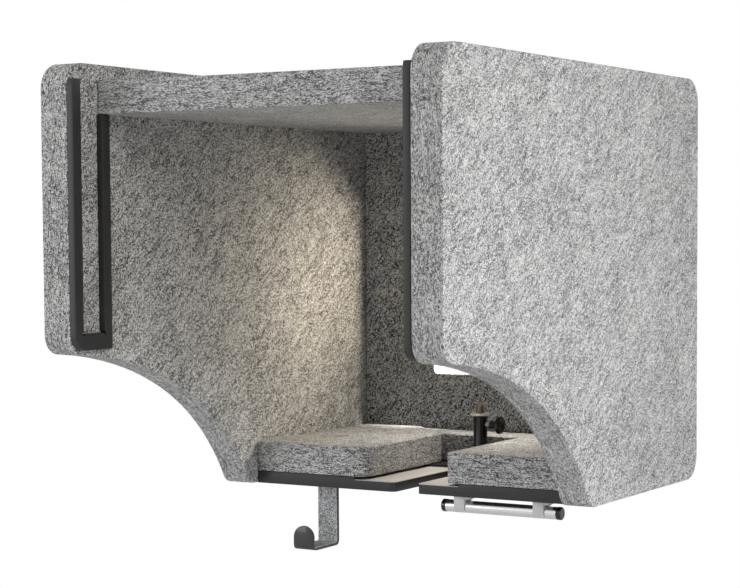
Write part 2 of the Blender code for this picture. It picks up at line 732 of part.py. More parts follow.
def underside_screw(name, x, y, plate, held, board, booth):
    """Pan-head screw from below through a plate and into the floor board."""
    core = SCREW_D / 2
    seat = -GAP - plate - GAP
    head = SCREW_HEAD_D / 2
    tip = seat + SCREW_LENGTH
    mesh = turned([(0.0, seat - SCREW_HEAD_T), (0.6 * head, seat - SCREW_HEAD_T),
                   (head, seat - 0.4 * SCREW_HEAD_T), (head, seat), (core, seat),
                   (core, tip - core), (0.0, tip)], 20)
    piece(name, mesh, BRIGHT_STEEL, (x, y, 0.0), booth, smooth=True)
    hole = turned([(0.0, seat - 0.0002), (core + GAP, seat - 0.0002), (core + GAP, tip + 0.001),
                   (0.0, tip + 0.001)], 20)
    tool = cutter(name + "_hole", hole, (x, y, 0.0))
    boolean(held, tool)
    boolean(board, tool)


def dowel(name, side, y, z, diameter, boards, booth):
    """Dowel across the joint between a side panel and the board beside it."""
    half = DOWEL_LENGTH / 2
    core = diameter / 2
    mesh = turned([(0.0, -half), (core - 0.001, -half), (core, -half + 0.001),
                   (core, half - 0.001), (core - 0.001, half), (0.0, half)], 16, "X")
    at = (side * WALL_X, y, z)
    piece(name, mesh, BEECH, at, booth, smooth=True)
    room = half + 0.001
    hole = turned([(0.0, -room), (core + GAP, -room), (core + GAP, room), (0.0, room)], 16, "X")
    tool = cutter(name + "_hole", hole, at)
    for board in boards:
        boolean(board, tool)


def join_boards(sides, ceiling, back, floor, booth):
    """Dowels between each side panel and the ceiling, back wall and floor board."""
    ceiling_z = CEILING_UNDER + BOARD / 2
    back_y = BACK_FACE + BOARD / 2
    rows = [("ceiling_dowel", "front", CEILING_FRONT + DOWEL_END_MARGIN, ceiling_z, DOWEL_D, ceiling),
            ("ceiling_dowel", "rear", BACK_FACE - DOWEL_END_MARGIN, ceiling_z, DOWEL_D, ceiling),
            ("back_dowel", "low", back_y, BACK_DOWEL_LOW, DOWEL_D, back),
            ("back_dowel", "high", back_y, CEILING_TOP - BACK_DOWEL_TOP_MARGIN, DOWEL_D, back),
            ("floor_dowel", "front", FLOOR_FRONT + FLOOR_DOWEL_MARGIN, FLOOR_T / 2, FLOOR_DOWEL_D, floor),
            ("floor_dowel", "rear", BACK_FACE - FLOOR_DOWEL_MARGIN, FLOOR_T / 2, FLOOR_DOWEL_D, floor)]
    for label, side in (("left", -1), ("right", 1)):
        for kind, place, y, z, diameter, board in rows:
            dowel(f"{kind}_{label}_{place}", side, y, z, diameter, (sides[side], board), booth)


def build():
    """Build the whole booth."""
    clear_scene()
    booth = bpy.data.objects.new("booth", None)
    bpy.context.scene.collection.objects.link(booth)
    sides = {-1: side_panel("left_side_panel", -1, booth), 1: side_panel("right_side_panel", 1, booth)}
    ceiling = ceiling_panel(booth)
    back = back_panel(booth)
    window_pane(booth)
    guide_frame("left_guide_frame", -1, booth)
    guide_frame("right_guide_frame", 1, booth)
    floor = floor_board(booth)
    recess_sheet(booth)
    floor_pad("left_floor_pad", -1, LEFT_NOSE_R, booth)
    floor_pad("right_floor_pad", 1, RIGHT_NOSE_R, booth)
    back_floor_pad(booth)
    post_tube(booth)
    post_fasteners(booth)
    lock_ring(mic_rod(booth))
    clamp(booth)
    hook, hook_screws = headphone_hook(booth)
    for name, x, y, plate in hook_screws:
        underside_screw(name, x, y, plate, hook, floor, booth)
    tube_left, tube_y = accessory_tube(booth)
    for name, x, y, plate, clip in pipe_clips(booth, tube_left, tube_y):
        underside_screw(name, x, y, plate, clip, floor, booth)
    join_boards(sides, ceiling, back, floor, booth)
    bpy.context.view_layer.update()


build()
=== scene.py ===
from math import cos, pi, radians, sin, sqrt, tan, tau

import bmesh
import bpy
import numpy as np
from mathutils import Matrix, Vector, noise
from mathutils.geometry import delaunay_2d_cdt
from mathutils.kdtree import KDTree


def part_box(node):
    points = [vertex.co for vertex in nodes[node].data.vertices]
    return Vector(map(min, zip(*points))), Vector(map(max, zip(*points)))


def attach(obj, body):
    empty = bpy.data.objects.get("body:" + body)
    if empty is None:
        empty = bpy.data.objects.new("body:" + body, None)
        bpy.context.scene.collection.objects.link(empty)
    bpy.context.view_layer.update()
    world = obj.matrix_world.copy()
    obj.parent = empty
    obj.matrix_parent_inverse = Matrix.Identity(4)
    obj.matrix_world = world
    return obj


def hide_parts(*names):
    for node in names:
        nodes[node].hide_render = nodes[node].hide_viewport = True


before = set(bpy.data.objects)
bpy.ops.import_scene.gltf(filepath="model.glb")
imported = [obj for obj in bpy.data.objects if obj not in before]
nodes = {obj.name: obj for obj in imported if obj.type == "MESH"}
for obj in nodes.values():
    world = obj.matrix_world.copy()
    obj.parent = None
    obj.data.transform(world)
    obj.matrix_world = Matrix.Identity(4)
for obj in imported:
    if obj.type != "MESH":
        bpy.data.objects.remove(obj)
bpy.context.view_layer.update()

# Side panels
# Pressed polyester felt boards, 50 mm thick, sawn to one outline with the shoulder cut and
# doweled to the ceiling, the back wall and the floor board. The cut sides show the layers, and
# the right board's cut lies up to 4.5 mm higher near its front.


class Wire:
    """A shader socket in an expression: 1 - mask adds the Math node that works it out."""

    def __init__(self, tree, socket=None):
        self.tree = tree
        self.socket = socket

    def fill(self, made, sockets):
        """Give a node's sockets their values or wires."""
        for key, value in sockets.items():
            if isinstance(value, Wire):
                self.tree.links.new(value.socket, made.inputs[key])
            else:
                made.inputs[key].default_value = value

    def node(self, kind, settings, sockets, out=0):
        """Any other node: its settings come first, then its sockets."""
        made = self.tree.nodes.new("ShaderNode" + kind)
        for key, value in settings.items():
            setattr(made, key, value)
        self.fill(made, sockets)
        return Wire(self.tree, made.outputs[out])

    def math(self, operation, first, second):
        return self.node("Math", {"operation": operation}, {0: first, 1: second})

    def __add__(self, other):
        return self.math("ADD", self, other)

    def __sub__(self, other):
        return self.math("SUBTRACT", self, other)

    def __rsub__(self, other):
        return self.math("SUBTRACT", other, self)

    def __mul__(self, other):
        return self.math("MULTIPLY", self, other)

    __radd__ = __add__
    __rmul__ = __mul__

    def size(self):
        return self.math("ABSOLUTE", self, 0.0)

    def dot(self, way):
        """How far this place or normal goes along a way."""
        return self.node("VectorMath", {"operation": "DOT_PRODUCT"}, {0: self, 1: way}, "Value")

    def between(self, low, high):
        """0 below low, 1 above high and smooth in between; low may be the larger one."""
        return self.node("MapRange", {"interpolation_type": "SMOOTHSTEP"},
                         {"Value": self, "From Min": low, "From Max": high})

    def noise(self, scale, detail=2.0, rough=0.55, out="Fac"):
        """Noise on this place."""
        return self.node("TexNoise", {}, {"Vector": self, "Scale": scale, "Detail": detail,
                                          "Roughness": rough}, out)

    def stretched(self, sizes):
        """This place, counted in grains of that size along each axis."""
        return self.node("VectorMath", {"operation": "MULTIPLY"}, {0: self, 1: [1 / s for s in sizes]})

    def mix(self, first, second):
        """Colour from first to second as this value goes from 0 to 1."""
        return self.node("Mix", {"data_type": "RGBA"}, {0: self, 6: first, 7: second}, 2)

    def bump(self, depth, strength=1.0):
        """Normal of a surface that stands this value times depth high, in metres."""
        return self.node("Bump", {}, {"Height": self, "Distance": depth, "Strength": strength}, "Normal")


def new_finish(name):
    """A material with the wires of its tree, its shader and the place on the object."""
    material = bpy.data.materials.new(name)
    material.use_nodes = True
    shader = material.node_tree.nodes["Principled BSDF"]
    wires = Wire(material.node_tree)
    return material, wires, shader, wires.node("TexCoord", {}, {}, "Object")


def felt_finish(name, normal, grain, dark=(0.085, 0.085, 0.087), light=(0.66, 0.66, 0.655), contrast=1.0,
                coarse=1.0):
    """Heathered felt. Fibres lie at an angle in the plane across the normal axis, in thin layers."""
    material, wires, shader, place = new_finish(name)
    flat = [axis for axis in range(3) if axis != normal]
    wander = place.noise(55.0, 2.0, 0.5, "Color")
    bent = wires.node("VectorMath", {"operation": "MULTIPLY_ADD"}, {0: wander, 1: (0.010,) * 3, 2: place})

    def laid(turn, sizes):
        """Place in grains along the fibre, across it and through the board."""
        ways = [Vector(), Vector(), Vector()]
        ways[0][flat[0]] = ways[1][flat[1]] = cos(radians(turn))
        ways[0][flat[1]] = sin(radians(turn))
        ways[1][flat[0]] = -sin(radians(turn))
        ways[2][normal] = 1.0
        return wires.node("CombineXYZ", {}, {i: bent.dot(ways[i] / sizes[i]) for i in range(3)})

    through = Vector([1.0 if axis == normal else 0.0 for axis in range(3)])
    sawn = wires.node("TexCoord", {}, {}, "Normal").dot(through).size().between(0.8, 0.4)
    clouds = place.noise(16.0, 2.0)
    wisps = laid(grain, (0.026, 0.0060, 0.0050)).noise(1.0, 3.0, 0.65)
    layers = laid(grain + 8, (0.035, 0.025, 0.0016)).noise(1.0, 1.0, 0.7)
    grains = laid(grain, (0.0027 * coarse, 0.0014 * coarse, 0.0012 * coarse)).noise(1.0, 1.0, 0.8)
    drawn = laid(grain, (0.0070, 0.0060, 0.0012)).noise(1.0, 1.0, 0.7)
    tufts = laid(grain, (0.0062, 0.0026, 0.0022)).noise(1.0, 2.0, 0.75)
    flecks = (tufts + 0.5 * wisps).between(0.80, 0.94)
    pale_hair, dark_hair = [
        (laid(grain + turn, (0.0120, 0.0013, 0.0011)).noise(1.0, 1.0) - 0.5).size().between(0.045, 0.0)
        for turn in (-26, 24)]

    patches = 0.60 * (clouds - 0.5) + 1.75 * (0.5 - wisps)
    bedding = (0.4 + 1.5 * sawn) * (layers - 0.5) + 3.0 * sawn * (drawn - 0.5)
    fibres = (6.4 - sawn) * (grains - 0.5) + 0.65 * (0.5 - tufts)
    hairs = 0.18 * pale_hair - 0.24 * dark_hair - 0.50 * flecks
    sawn_contrast = 0.85
    strength = contrast - (contrast - sawn_contrast) * sawn
    tone = 0.5 + strength * (patches + bedding + fibres + hairs)
    warm = place.noise(9.0, 0.0).mix((1.0, 0.995, 0.985, 1.0), (0.99, 0.995, 1.0, 1.0))
    grey = tone.between(-0.12, 1.12).mix((*dark, 1.0), (*light, 1.0))
    colour = wires.node("Mix", {"data_type": "RGBA", "blend_type": "MULTIPLY"}, {0: 1.0, 6: grey, 7: warm}, 2)
    relief = 0.5 * grains + 0.5 * tufts + 0.3 * pale_hair + 0.3 * dark_hair + 0.35 * layers
    wires.fill(shader, {"Base Color": colour, "Roughness": 0.86 + 0.2 * wisps,
                        "Normal": relief.bump(0.0017, 0.7), "Specular IOR Level": 0.15,
                        "Sheen Weight": 0.12, "Sheen Roughness": 0.6})
    return material


def bridged(shape, loops):
    """Faces from each loop of vertices to the next; a loop of one vertex is a pole."""
    for lower, upper in zip(loops, loops[1:]):
        sides = max(len(lower), len(upper))
        for k in range(sides):
            n = (k + 1) % sides
            quad = (lower[k % len(lower)], lower[n % len(lower)],
                    upper[n % len(upper)], upper[k % len(upper)])
            shape.faces.new(list(dict.fromkeys(quad)))


def placed(name, shape, finish, sharp=None):
    """The finished piece, shaded smooth but for arrises sharper than so many degrees."""
    mesh = bpy.data.meshes.new(name)
    shape.to_mesh(mesh)
    shape.free()
    mesh.materials.append(finish)
    mesh.shade_smooth()
    if sharp:
        mesh.set_sharp_from_angle(angle=radians(sharp))
    made = bpy.data.objects.new(name, mesh)
    bpy.context.scene.collection.objects.link(made)
    return made


def merged(node):
    """A copy of a CAD node's mesh with its loose triangles joined."""
    shape = bmesh.new()
    shape.from_mesh(nodes[node].data)
    bmesh.ops.remove_doubles(shape, verts=shape.verts, dist=1e-6)
    return shape


def outline_at(node, plane):
    """Side outline of a panel, as (y, z), read where its outer arris meets the cut side."""
    shape = merged(node)
    near = {v for v in shape.verts if abs(v.co.x - plane) < 2e-5}
    first = min(near, key=lambda v: (v.co.y, v.co.z))
    loop = [first]
    while True:
        ahead = [e.other_vert(loop[-1]) for e in loop[-1].link_edges]
        ahead = [v for v in ahead if v in near and v not in loop[-2:]]
        if not ahead or ahead[0] is first:
            break
        loop.append(ahead[0])
    points = [Vector((v.co.y, v.co.z)) for v in loop]
    shape.free()
    return points


def signed_area(points):
    return sum(a.cross(b) for a, b in zip(points, points[1:] + points[:1])) / 2


def even_runs(points, step):
    """An outline that turns left, with its long runs split."""
    if signed_area(points) < 0:
        points = points[::-1]
    split = []
    for here, after in zip(points, points[1:] + points[:1]):
        parts = max(1, round((after - here).length / step))
        split += [here.lerp(after, k / parts) for k in range(parts)]
    return split


def inward_ways(points):
    """For each point of an outline, the way to its left, which is into the felt."""
    ways = []
    for i, here in enumerate(points):
        come = (here - points[i - 1]).normalized()
        go = (points[(i + 1) % len(points)] - here).normalized()
        middle = (come + go).normalized()
        ways.append(Vector((-middle.y, middle.x)) / max(middle.dot(go), 0.6))
    return ways


def arris_rows(low, high, round_by=0.0021, pitch=0.0026, margin=0.0011):
    """(inset, level) rows from one face of a board to the other, round its worn arrises."""
    turn = [(round_by * (1 - sin(t)), round_by * (1 - cos(t))) for t in (0.0, 0.4, 0.8, 1.2, pi / 2)]
    rows = [(round_by + margin, low)] + [(inset, low + rise) for inset, rise in turn]
    side = int((high - low - 2 * round_by) / pitch)
    rows += [(0.0, low + round_by + (high - low - 2 * round_by) * k / side) for k in range(1, side)]
    return rows + [(inset, high - rise) for inset, rise in turn[::-1]] + [(round_by + margin, high)]


def inside_of(edges, spots, queries):
    """Which queries lie inside the closed lines that edges draw between spots."""
    inside = np.zeros(len(queries), bool)
    for a, b in edges:
        (ax, ay), (bx, by) = spots[a], spots[b]
        crosses = (ay > queries[:, 1]) != (by > queries[:, 1])
        if crosses.any():
            inside ^= crosses & (queries[:, 0] < (bx - ax) * (queries[:, 1] - ay) / ((by - ay) or 1e-12) + ax)
    return inside


def felt_board(name, axis, rings, finish, node, crown=0.0, step=0.0075):
    """A felt board across one axis. rings holds (outline, rows): the first outside, then holes."""
    row_pitch, jitter, crown_reach = 0.87, 0.22, 0.02
    worn_back, lump_height = 0.00020, 0.00018
    broad_lumps, fine_lumps, layer_lumps, layer_squeeze = 31.0, 95.0, 62.0, 14.0
    flat = [i for i in range(3) if i != axis]
    verts, faces, ends = [], [], ([], [])

    def put(spot, level):
        point = [0.0, 0.0, 0.0]
        point[axis], point[flat[0]], point[flat[1]] = level, spot[0], spot[1]
        verts.append(Vector(point))
        return len(verts) - 1

    for outline, rows in rings:
        ways = inward_ways(outline)
        loops = [[put(p + way * inset, level) for p, way in zip(outline, ways)] for inset, level in rows]
        count = len(outline)
        for low, high in zip(loops, loops[1:]):
            faces += [(low[i], low[(i + 1) % count], high[(i + 1) % count], high[i]) for i in range(count)]
        ends[0].append(loops[0])
        ends[1].append(loops[-1])
    scatter = np.random.default_rng(len(verts))
    for loops in ends:
        spots = [Vector((verts[i][flat[0]], verts[i][flat[1]])) for loop in loops for i in loop]
        used = [i for loop in loops for i in loop]
        tree = KDTree(len(spots))
        for i, spot in enumerate(spots):
            tree.insert(spot.to_3d(), i)
        tree.balance()
        edges, start = [], 0
        for loop in loops:
            edges += [(start + i, start + (i + 1) % len(loop)) for i in range(len(loop))]
            start += len(loop)
        corner = np.array(spots).min(0)
        far = np.array(spots).max(0)
        across = np.arange(corner[0], far[0], step)
        along = np.arange(corner[1], far[1], step * row_pitch)
        grid = np.array([(a + (j % 2) * step / 2, b) for j, b in enumerate(along) for a in across])
        grid += scatter.uniform(-jitter, jitter, grid.shape) * step
        level = verts[used[0]][axis]
        for a, b in grid[inside_of(edges, spots, grid)]:
            if tree.find((a, b, 0.0))[2] > 0.5 * step:
                spots.append(Vector((a, b)))
                used.append(put((a, b), level))
        found, _, cells, origin, _, _ = delaunay_2d_cdt(spots, edges, [], 0, 1e-7, True)
        middles = np.array([sum((found[i] for i in cell), Vector((0.0, 0.0))) / 3 for cell in cells])
        for cell, kept in zip(cells, inside_of(edges, spots, middles)):
            if kept:
                faces.append(tuple(used[origin[i][0]] for i in cell))
    shape = bmesh.new()
    corners = [shape.verts.new(v) for v in verts]
    for face in faces:
        shape.faces.new([corners[i] for i in face])
    bmesh.ops.recalc_face_normals(shape, faces=shape.faces)
    if shape.calc_volume(signed=True) < 0:
        bmesh.ops.reverse_faces(shape, faces=shape.faces)
    shape.normal_update()
    lows = Vector([min(v[i] for v in verts) for i in range(3)])
    highs = Vector([max(v[i] for v in verts) for i in range(3)])
    moves = []
    for vert in shape.verts:
        spot = vert.co
        lump = 0.5 * noise.noise(spot * broad_lumps)
        lump += 0.35 * noise.noise(spot * fine_lumps + Vector((7, 3, 1)))
        layered = Vector(spot)
        layered[axis] *= layer_squeeze
        ridge = 0.55 * noise.noise(layered * layer_lumps) * (1.0 - abs(vert.normal[axis]))
        reach = [min(spot[i] - lows[i], highs[i] - spot[i]) / crown_reach for i in flat]
        swell = crown * min(1.0, reach[0]) * min(1.0, reach[1]) * max(0.0, vert.normal[axis])
        moves.append(vert.normal * (-worn_back + lump_height * (lump + ridge) + swell))
    for vert, move in zip(shape.verts, moves):
        vert.co += move
    board = placed(name, shape, finish)
    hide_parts(node)
    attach(board, "booth")
    return board


edge_round, outline_step = 0.0022, 0.006
cut_under, lift, lift_start, lift_run = 0.30, 0.0045, -0.32, 0.16
side_tones = {"left": ((0.055, 0.055, 0.057), (0.70, 0.70, 0.69), 1.15, 1.15),
              "right": ((0.075, 0.075, 0.077), (0.68, 0.68, 0.675), 1.1, 1.0)}
for side, tones in side_tones.items():
    node = side + "_side_panel"
    side_felt = felt_finish(side + "_side_felt", 0, 38.0, *tones)
    low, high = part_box(node)
    outline = outline_at(node, high.x - edge_round if side == "right" else low.x + edge_round)
    if side == "right":
        for point in outline:
            if point.y < cut_under:
                point.y += lift * min(1.0, max(0.0, (lift_start - point.x) / lift_run))
    felt_board(side + "_side_board", 0, [(even_runs(outline, outline_step), arris_rows(low.x, high.x))],
               side_felt, node)

# Ceiling
# A felt board between the side panels, 25 mm under their tops. It stops behind the guide slots,
# and its front is a sawn side that shows the layers lying flat.


def rounded_outline(corners, step=0.006, arc_steps=6):
    """Outline through (a, b, radius) corners."""
    points = []
    for i, (a, b, radius) in enumerate(corners):
        here = Vector((a, b))
        before = (Vector(corners[i - 1][:2]) - here).normalized()
        after = (Vector(corners[(i + 1) % len(corners)][:2]) - here).normalized()
        half = before.angle(after) / 2
        middle = here + (before + after).normalized() * radius / sin(half)
        start = here + before * radius / tan(half) - middle
        sweep = start.angle_signed(here + after * radius / tan(half) - middle)
        for k in range(arc_steps + 1):
            turned = start.copy()
            turned.rotate(Matrix.Rotation(-sweep * k / arc_steps, 2))
            points.append(middle + turned)
    return even_runs(points, step)


def box_outline(low, high, radius):
    """Rounded rectangle between two corners."""
    return rounded_outline([(low[0], low[1], radius), (high[0], low[1], radius),
                            (high[0], high[1], radius), (low[0], high[1], radius)])


board_corner = 0.004
low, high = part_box("ceiling_panel")
ceiling_felt = felt_finish("ceiling_felt", 2, 8.0, contrast=1.15)
outline = box_outline((low.x, low.y), (high.x, high.y), board_corner)
felt_board("ceiling_board", 2, [(outline, arris_rows(low.z, high.z))], ceiling_felt, "ceiling_panel")

# Back wall and window
# A felt board between the side panels with a window cut in it. A clear acrylic pane lies in a
# rebate round the opening, flush with the outer face.
low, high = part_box("back_panel")
pane_low, pane_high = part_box("window_pane")
lap, pane_gap, window_corner = 0.010, 0.0003, 0.008
rebate = pane_low.y - pane_gap
opening = box_outline((pane_low.x + lap, pane_low.z + lap), (pane_high.x - lap, pane_high.z - lap),
                      window_corner)
opening_rows = [row for row in arris_rows(low.y, high.y) if row[1] < rebate - 0.001]
opening_rows += [(0.0, rebate - 0.0004), (0.0004, rebate), (lap, rebate), (lap, high.y - 0.0012),
                 (lap + 0.0004, high.y - 0.0004), (lap + 0.0012, high.y), (lap + 0.003, high.y)]
# The back board's felt is darker than the other boards': painted shade for the little light that reaches the
# back wall.
shaded_back_felt = felt_finish("shaded_back_felt", 1, 52.0, (0.035, 0.035, 0.036), (0.65, 0.65, 0.64), 1.4, 1.25)
outline = box_outline((low.x, low.z), (high.x, high.z), board_corner)
felt_board("back_board", 1, [(outline, arris_rows(low.y, high.y)), (opening[::-1], opening_rows)], shaded_back_felt,
           "back_panel")

acrylic, wires, shader, place = new_finish("clear_acrylic")
# Towards glancing views the pane turns more opaque and shows its pale base colour: a painted reflection.
painted_glancing_reflection = wires.node("LayerWeight", {}, {"Blend": 0.35}, "Fresnel")
dust = place.noise(60.0, 4.0, 0.6).between(0.5, 0.9)
wires.fill(shader, {"Base Color": (0.93, 0.96, 0.96, 1.0), "Roughness": 0.03 + 0.12 * dust,
                    "Alpha": 0.08 + 0.5 * painted_glancing_reflection + 0.03 * dust})
nodes["window_pane"].data.materials.clear()
nodes["window_pane"].data.materials.append(acrylic)

# Guide frames
# One-piece frames of black coated board, glued to the side panels' inner faces. A loose front
# board drops into their open slot, and its corners have drilled relief holes.


def trimmed(node, name, edge, finish, segments=2):
    """A copy of a CAD node with its facets joined into flat faces and its edges eased."""
    shape = merged(node)
    bmesh.ops.dissolve_limit(shape, angle_limit=radians(0.5), verts=shape.verts, edges=shape.edges)
    sharp = [e for e in shape.edges if len(e.link_faces) == 2 and e.calc_face_angle() > radians(40)]
    bmesh.ops.bevel(shape, geom=sharp, offset=edge, segments=segments, profile=0.5, affect="EDGES",
                    clamp_overlap=True)
    bmesh.ops.triangulate(shape, faces=[f for f in shape.faces if len(f.verts) > 4])
    made = placed(name, shape, finish, 32.0)
    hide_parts(node)
    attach(made, "booth")
    return made


black_coat, wires, shader, place = new_finish("black_coated_board")
pebble = place.noise(900.0, 2.0, 0.6)
rubbed = place.stretched((0.05, 0.05, 0.02)).noise(1.0, 3.0, 0.6)
fleck = place.noise(420.0, 2.0, 0.7).between(0.62, 0.78)
shade = (rubbed * 0.8 + fleck * 0.25).mix((0.012, 0.0118, 0.012, 1.0), (0.030, 0.029, 0.029, 1.0))
wires.fill(shader, {"Base Color": shade, "Roughness": 0.42 + 0.22 * rubbed,
                    "Normal": pebble.bump(0.00012, 0.5), "Specular IOR Level": 0.35})
for side in ("left", "right"):
    guide = trimmed(side + "_guide_frame", side + "_guide", 0.0006, black_coat)

# Floor board and recess sheet
# A 20 mm black coated board, slotted from the front for the cable, carries the pads and the post.
# A thin pale sheet lies in the shallow recess round the slot.
floor = trimmed("floor_board", "floor_plate", 0.0007, black_coat)
pale_finish, wires, shader, place = new_finish("pale_sheet_finish")
smear = place.stretched((0.09, 0.03, 0.03)).noise(1.0, 4.0, 0.6)
grit = place.noise(700.0, 3.0, 0.7)
paint = (smear * 0.7 + grit * 0.3).mix((0.40, 0.39, 0.37, 1.0), (0.50, 0.49, 0.47, 1.0))
wires.fill(shader, {"Base Color": paint, "Roughness": 0.32 + 0.25 * smear, "Normal": grit.bump(0.00008, 0.4)})
sheet = trimmed("recess_sheet", "recess_lining", 0.0002, pale_finish, 1)

# Floor pads
# Felt pads laid on the floor board beside the slot and behind the post, so that the board
# doesn't throw sound back at the microphone. They meet on mitres behind the post.
pad_felt = felt_finish("pad_felt", 2, 20.0, (0.06, 0.06, 0.062), (0.70, 0.70, 0.69), 1.2, 1.1)
back_low, back_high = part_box("back_floor_pad")
mitre_lead, pad_step = 0.024, 0.006
for side, way, nose_radius in (("left", -1, 0.025), ("right", 1, 0.008)):
    low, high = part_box(side + "_floor_pad")
    wall, nose = (low.x, high.x) if way < 0 else (high.x, low.x)
    mitre = back_low.y - mitre_lead
    outline = rounded_outline([
        (wall, low.y, board_corner), (nose, low.y, nose_radius), (nose, mitre, board_corner),
        (nose + way * (high.y - mitre), high.y, board_corner), (wall, high.y, board_corner)])
    pad = felt_board(side + "_pad", 2, [(outline, arris_rows(low.z, high.z))], pad_felt, side + "_floor_pad",
                     crown=0.0006, step=pad_step)
taper = back_high.y - back_low.y
outline = rounded_outline([
    (back_low.x + taper, back_low.y, board_corner), (back_high.x - taper, back_low.y, board_corner),
    (back_high.x, back_high.y, board_corner), (back_low.x, back_high.y, board_corner)])
pad = felt_board("back_pad", 2, [(outline, arris_rows(back_low.z, back_high.z))], pad_felt, "back_floor_pad",
                 crown=0.0004, step=pad_step)

# Microphone post
# A black powder-coated steel tube on a round foot, held by one bolt and washer from under the
# floor board. The rod with the microphone thread slides in it.


def lathe(name, profile, axis, centre, finish, segments=64, ripple=None, angle=30.0):
    """Turn a (radius, height) profile about an axis through centre; radius 0 makes a pole."""
    shape = bmesh.new()
    order = {"X": (2, 0, 1), "Z": (0, 1, 2)}[axis]
    rings = []
    for radius, height in profile:
        ring = []
        for k in range(segments if radius else 1):
            turn = tau * k / segments
            r = ripple(radius, height, turn) if ripple and radius else radius
            local = (r * cos(turn), r * sin(turn), height)
            ring.append(shape.verts.new(Vector([local[i] for i in order]) + Vector(centre)))
        rings.append(ring)
    if profile[0][0] and profile[-1][0]:
        rings.append(rings[0])
    bridged(shape, rings)
    bmesh.ops.recalc_face_normals(shape, faces=shape.faces)
    return placed(name, shape, finish, angle)


def eased(points, width=0.0004):
    """A profile with each square corner cut by a small chamfer; its end points stay."""
    points = [Vector(p) for p in points]
    made = [points[0]]
    for before, here, after in zip(points, points[1:], points[2:]):
        back, on = before - here, after - here
        if min(back.length, on.length) > 3 * width and abs(back.normalized().dot(on.normalized())) < 0.9:
            made += [here + back.normalized() * width, here + on.normalized() * width]
        else:
            made.append(here)
    return [tuple(p) for p in made + [points[-1]]]


def powder_coat(name, colour, roughness):
    """Black powder coat with a fine orange-peel skin."""
    material, wires, shader, place = new_finish(name)
    peel = place.noise(1300.0, 2.0, 0.5)
    worn = place.noise(140.0, 4.0, 0.65)
    tint = worn.between(0.35, 0.75).mix((*colour, 1.0), tuple(1.5 * c for c in colour) + (1.0,))
    wires.fill(shader, {"Base Color": tint, "Roughness": roughness + 0.18 * (worn - 0.5),
                        "Normal": peel.bump(0.00004, 0.35), "Coat Weight": 0.10 + 0.2 * worn,
                        "Coat Roughness": 0.05, "Specular IOR Level": 0.3})
    return material


post_black = powder_coat("post_black", (0.0040, 0.0040, 0.0043), 0.15)
foot_low, post_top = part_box("mic_post_tube")
rod_low, rod_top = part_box("mic_rod")
post_y = (foot_low.y + post_top.y) / 2
foot, wall, bore, tap = 0.018, 0.012, 0.0091, 0.0043
foot_top, tap_top, bore_floor = foot_low.z + 0.005, foot_low.z + 0.013, foot_low.z + 0.018
post = lathe("post_tube", eased([
    (tap, foot_low.z), (foot, foot_low.z), (foot, foot_top), (wall + 0.0015, foot_top),
    (wall, foot_top + 0.0015), (wall, post_top.z - 0.0013), (wall - 0.0003, post_top.z - 0.0004),
    (wall - 0.0010, post_top.z), (bore, post_top.z), (bore, bore_floor), (0.0001, bore_floor),
    (0.0001, tap_top), (tap, tap_top)]), "Z", (0.0, post_y, 0.0), post_black)
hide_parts("mic_post_tube")
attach(post, "booth")

zinc, wires, shader, place = new_finish("bright_zinc")
crystal = place.noise(600.0, 3.0, 0.6)
tarnish = place.noise(90.0, 3.0, 0.6)
wires.fill(shader, {"Base Color": tarnish.mix((0.66, 0.66, 0.65, 1.0), (0.52, 0.51, 0.49, 1.0)),
                    "Metallic": 1.0, "Roughness": 0.22 + 0.2 * crystal, "Normal": crystal.bump(0.00003, 0.4)})
low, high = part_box("post_washer")
washer = lathe("foot_washer", eased([(tap, low.z), (0.012, low.z), (0.012, high.z), (tap, high.z)], 0.0003),
               "Z", (0.0, post_y, 0.0), zinc)
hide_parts("post_washer")
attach(washer, "booth")


def threaded(name, axis, centre, start, end, radius, depth, pitch, finish, extra=(), segments=40):
    """A rod with a helical thread from start to end. extra is the (radius, height) shape before
    it, and a third number there makes that ring a hexagon."""
    shape = bmesh.new()
    order = {"X": (2, 0, 1), "Z": (0, 1, 2)}[axis]
    rows_in_pitch, flank, crest, lead_slope = 6, 1.25, 0.12, 1.1
    turns = [tau * k / segments for k in range(segments)]
    rings = []
    for r, height, *sides in extra:
        flats = [cos(pi / 6) / cos((t % (pi / 3)) - pi / 6) if sides else 1.0 for t in turns]
        rings.append([(r * f * cos(t), r * f * sin(t), height) for t, f in zip(turns, flats)])
    rows = int(abs(end - start) / (pitch / rows_in_pitch))
    for row in range(rows + 1):
        height = start + (end - start) * row / rows
        ring = []
        for k, t in enumerate(turns):
            phase = (height / pitch - k / segments) % 1.0
            cut = depth * min(1.0, max(0.0, flank * (1.0 - abs(2.0 * phase - 1.0)) - crest))
            lead = min(abs(height - start), abs(height - end)) * lead_slope
            r = min(radius - cut, radius - depth + lead)
            ring.append((r * cos(t), r * sin(t), height))
        rings.append(ring)
    loops = [[shape.verts.new(Vector([p[i] for i in order]) + Vector(centre)) for p in ring]
             for ring in rings]
    bridged(shape, loops)
    shape.faces.new(loops[0])
    shape.faces.new(loops[-1])
    bmesh.ops.recalc_face_normals(shape, faces=shape.faces)
    return placed(name, shape, finish, 40.0)


low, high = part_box("post_bolt")
head_top = low.z + 0.0045
bolt_head = [(0.0034, low.z + 0.0026, 6), (0.0034, low.z + 0.0003, 6), (0.0041, low.z), (0.0064, low.z),
             (0.0070, low.z + 0.0006), (0.0070, head_top - 0.0003), (0.0067, head_top), (0.0040, head_top),
             (0.0040, high.z - 0.0142)]
bolt = threaded("foot_bolt", "Z", (0.0, post_y, 0.0), high.z - 0.014, high.z, radius=0.004,
                depth=0.00055, pitch=0.00125, finish=zinc, extra=bolt_head, segments=48)
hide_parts("post_bolt")
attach(bolt, "booth")

# Rod and lock ring
# The nickel-plated rod ends in a 15.9 mm thread of 27 turns to the inch for the microphone clip.
# A ring with notches for the fingers runs on that thread and locks the clip.


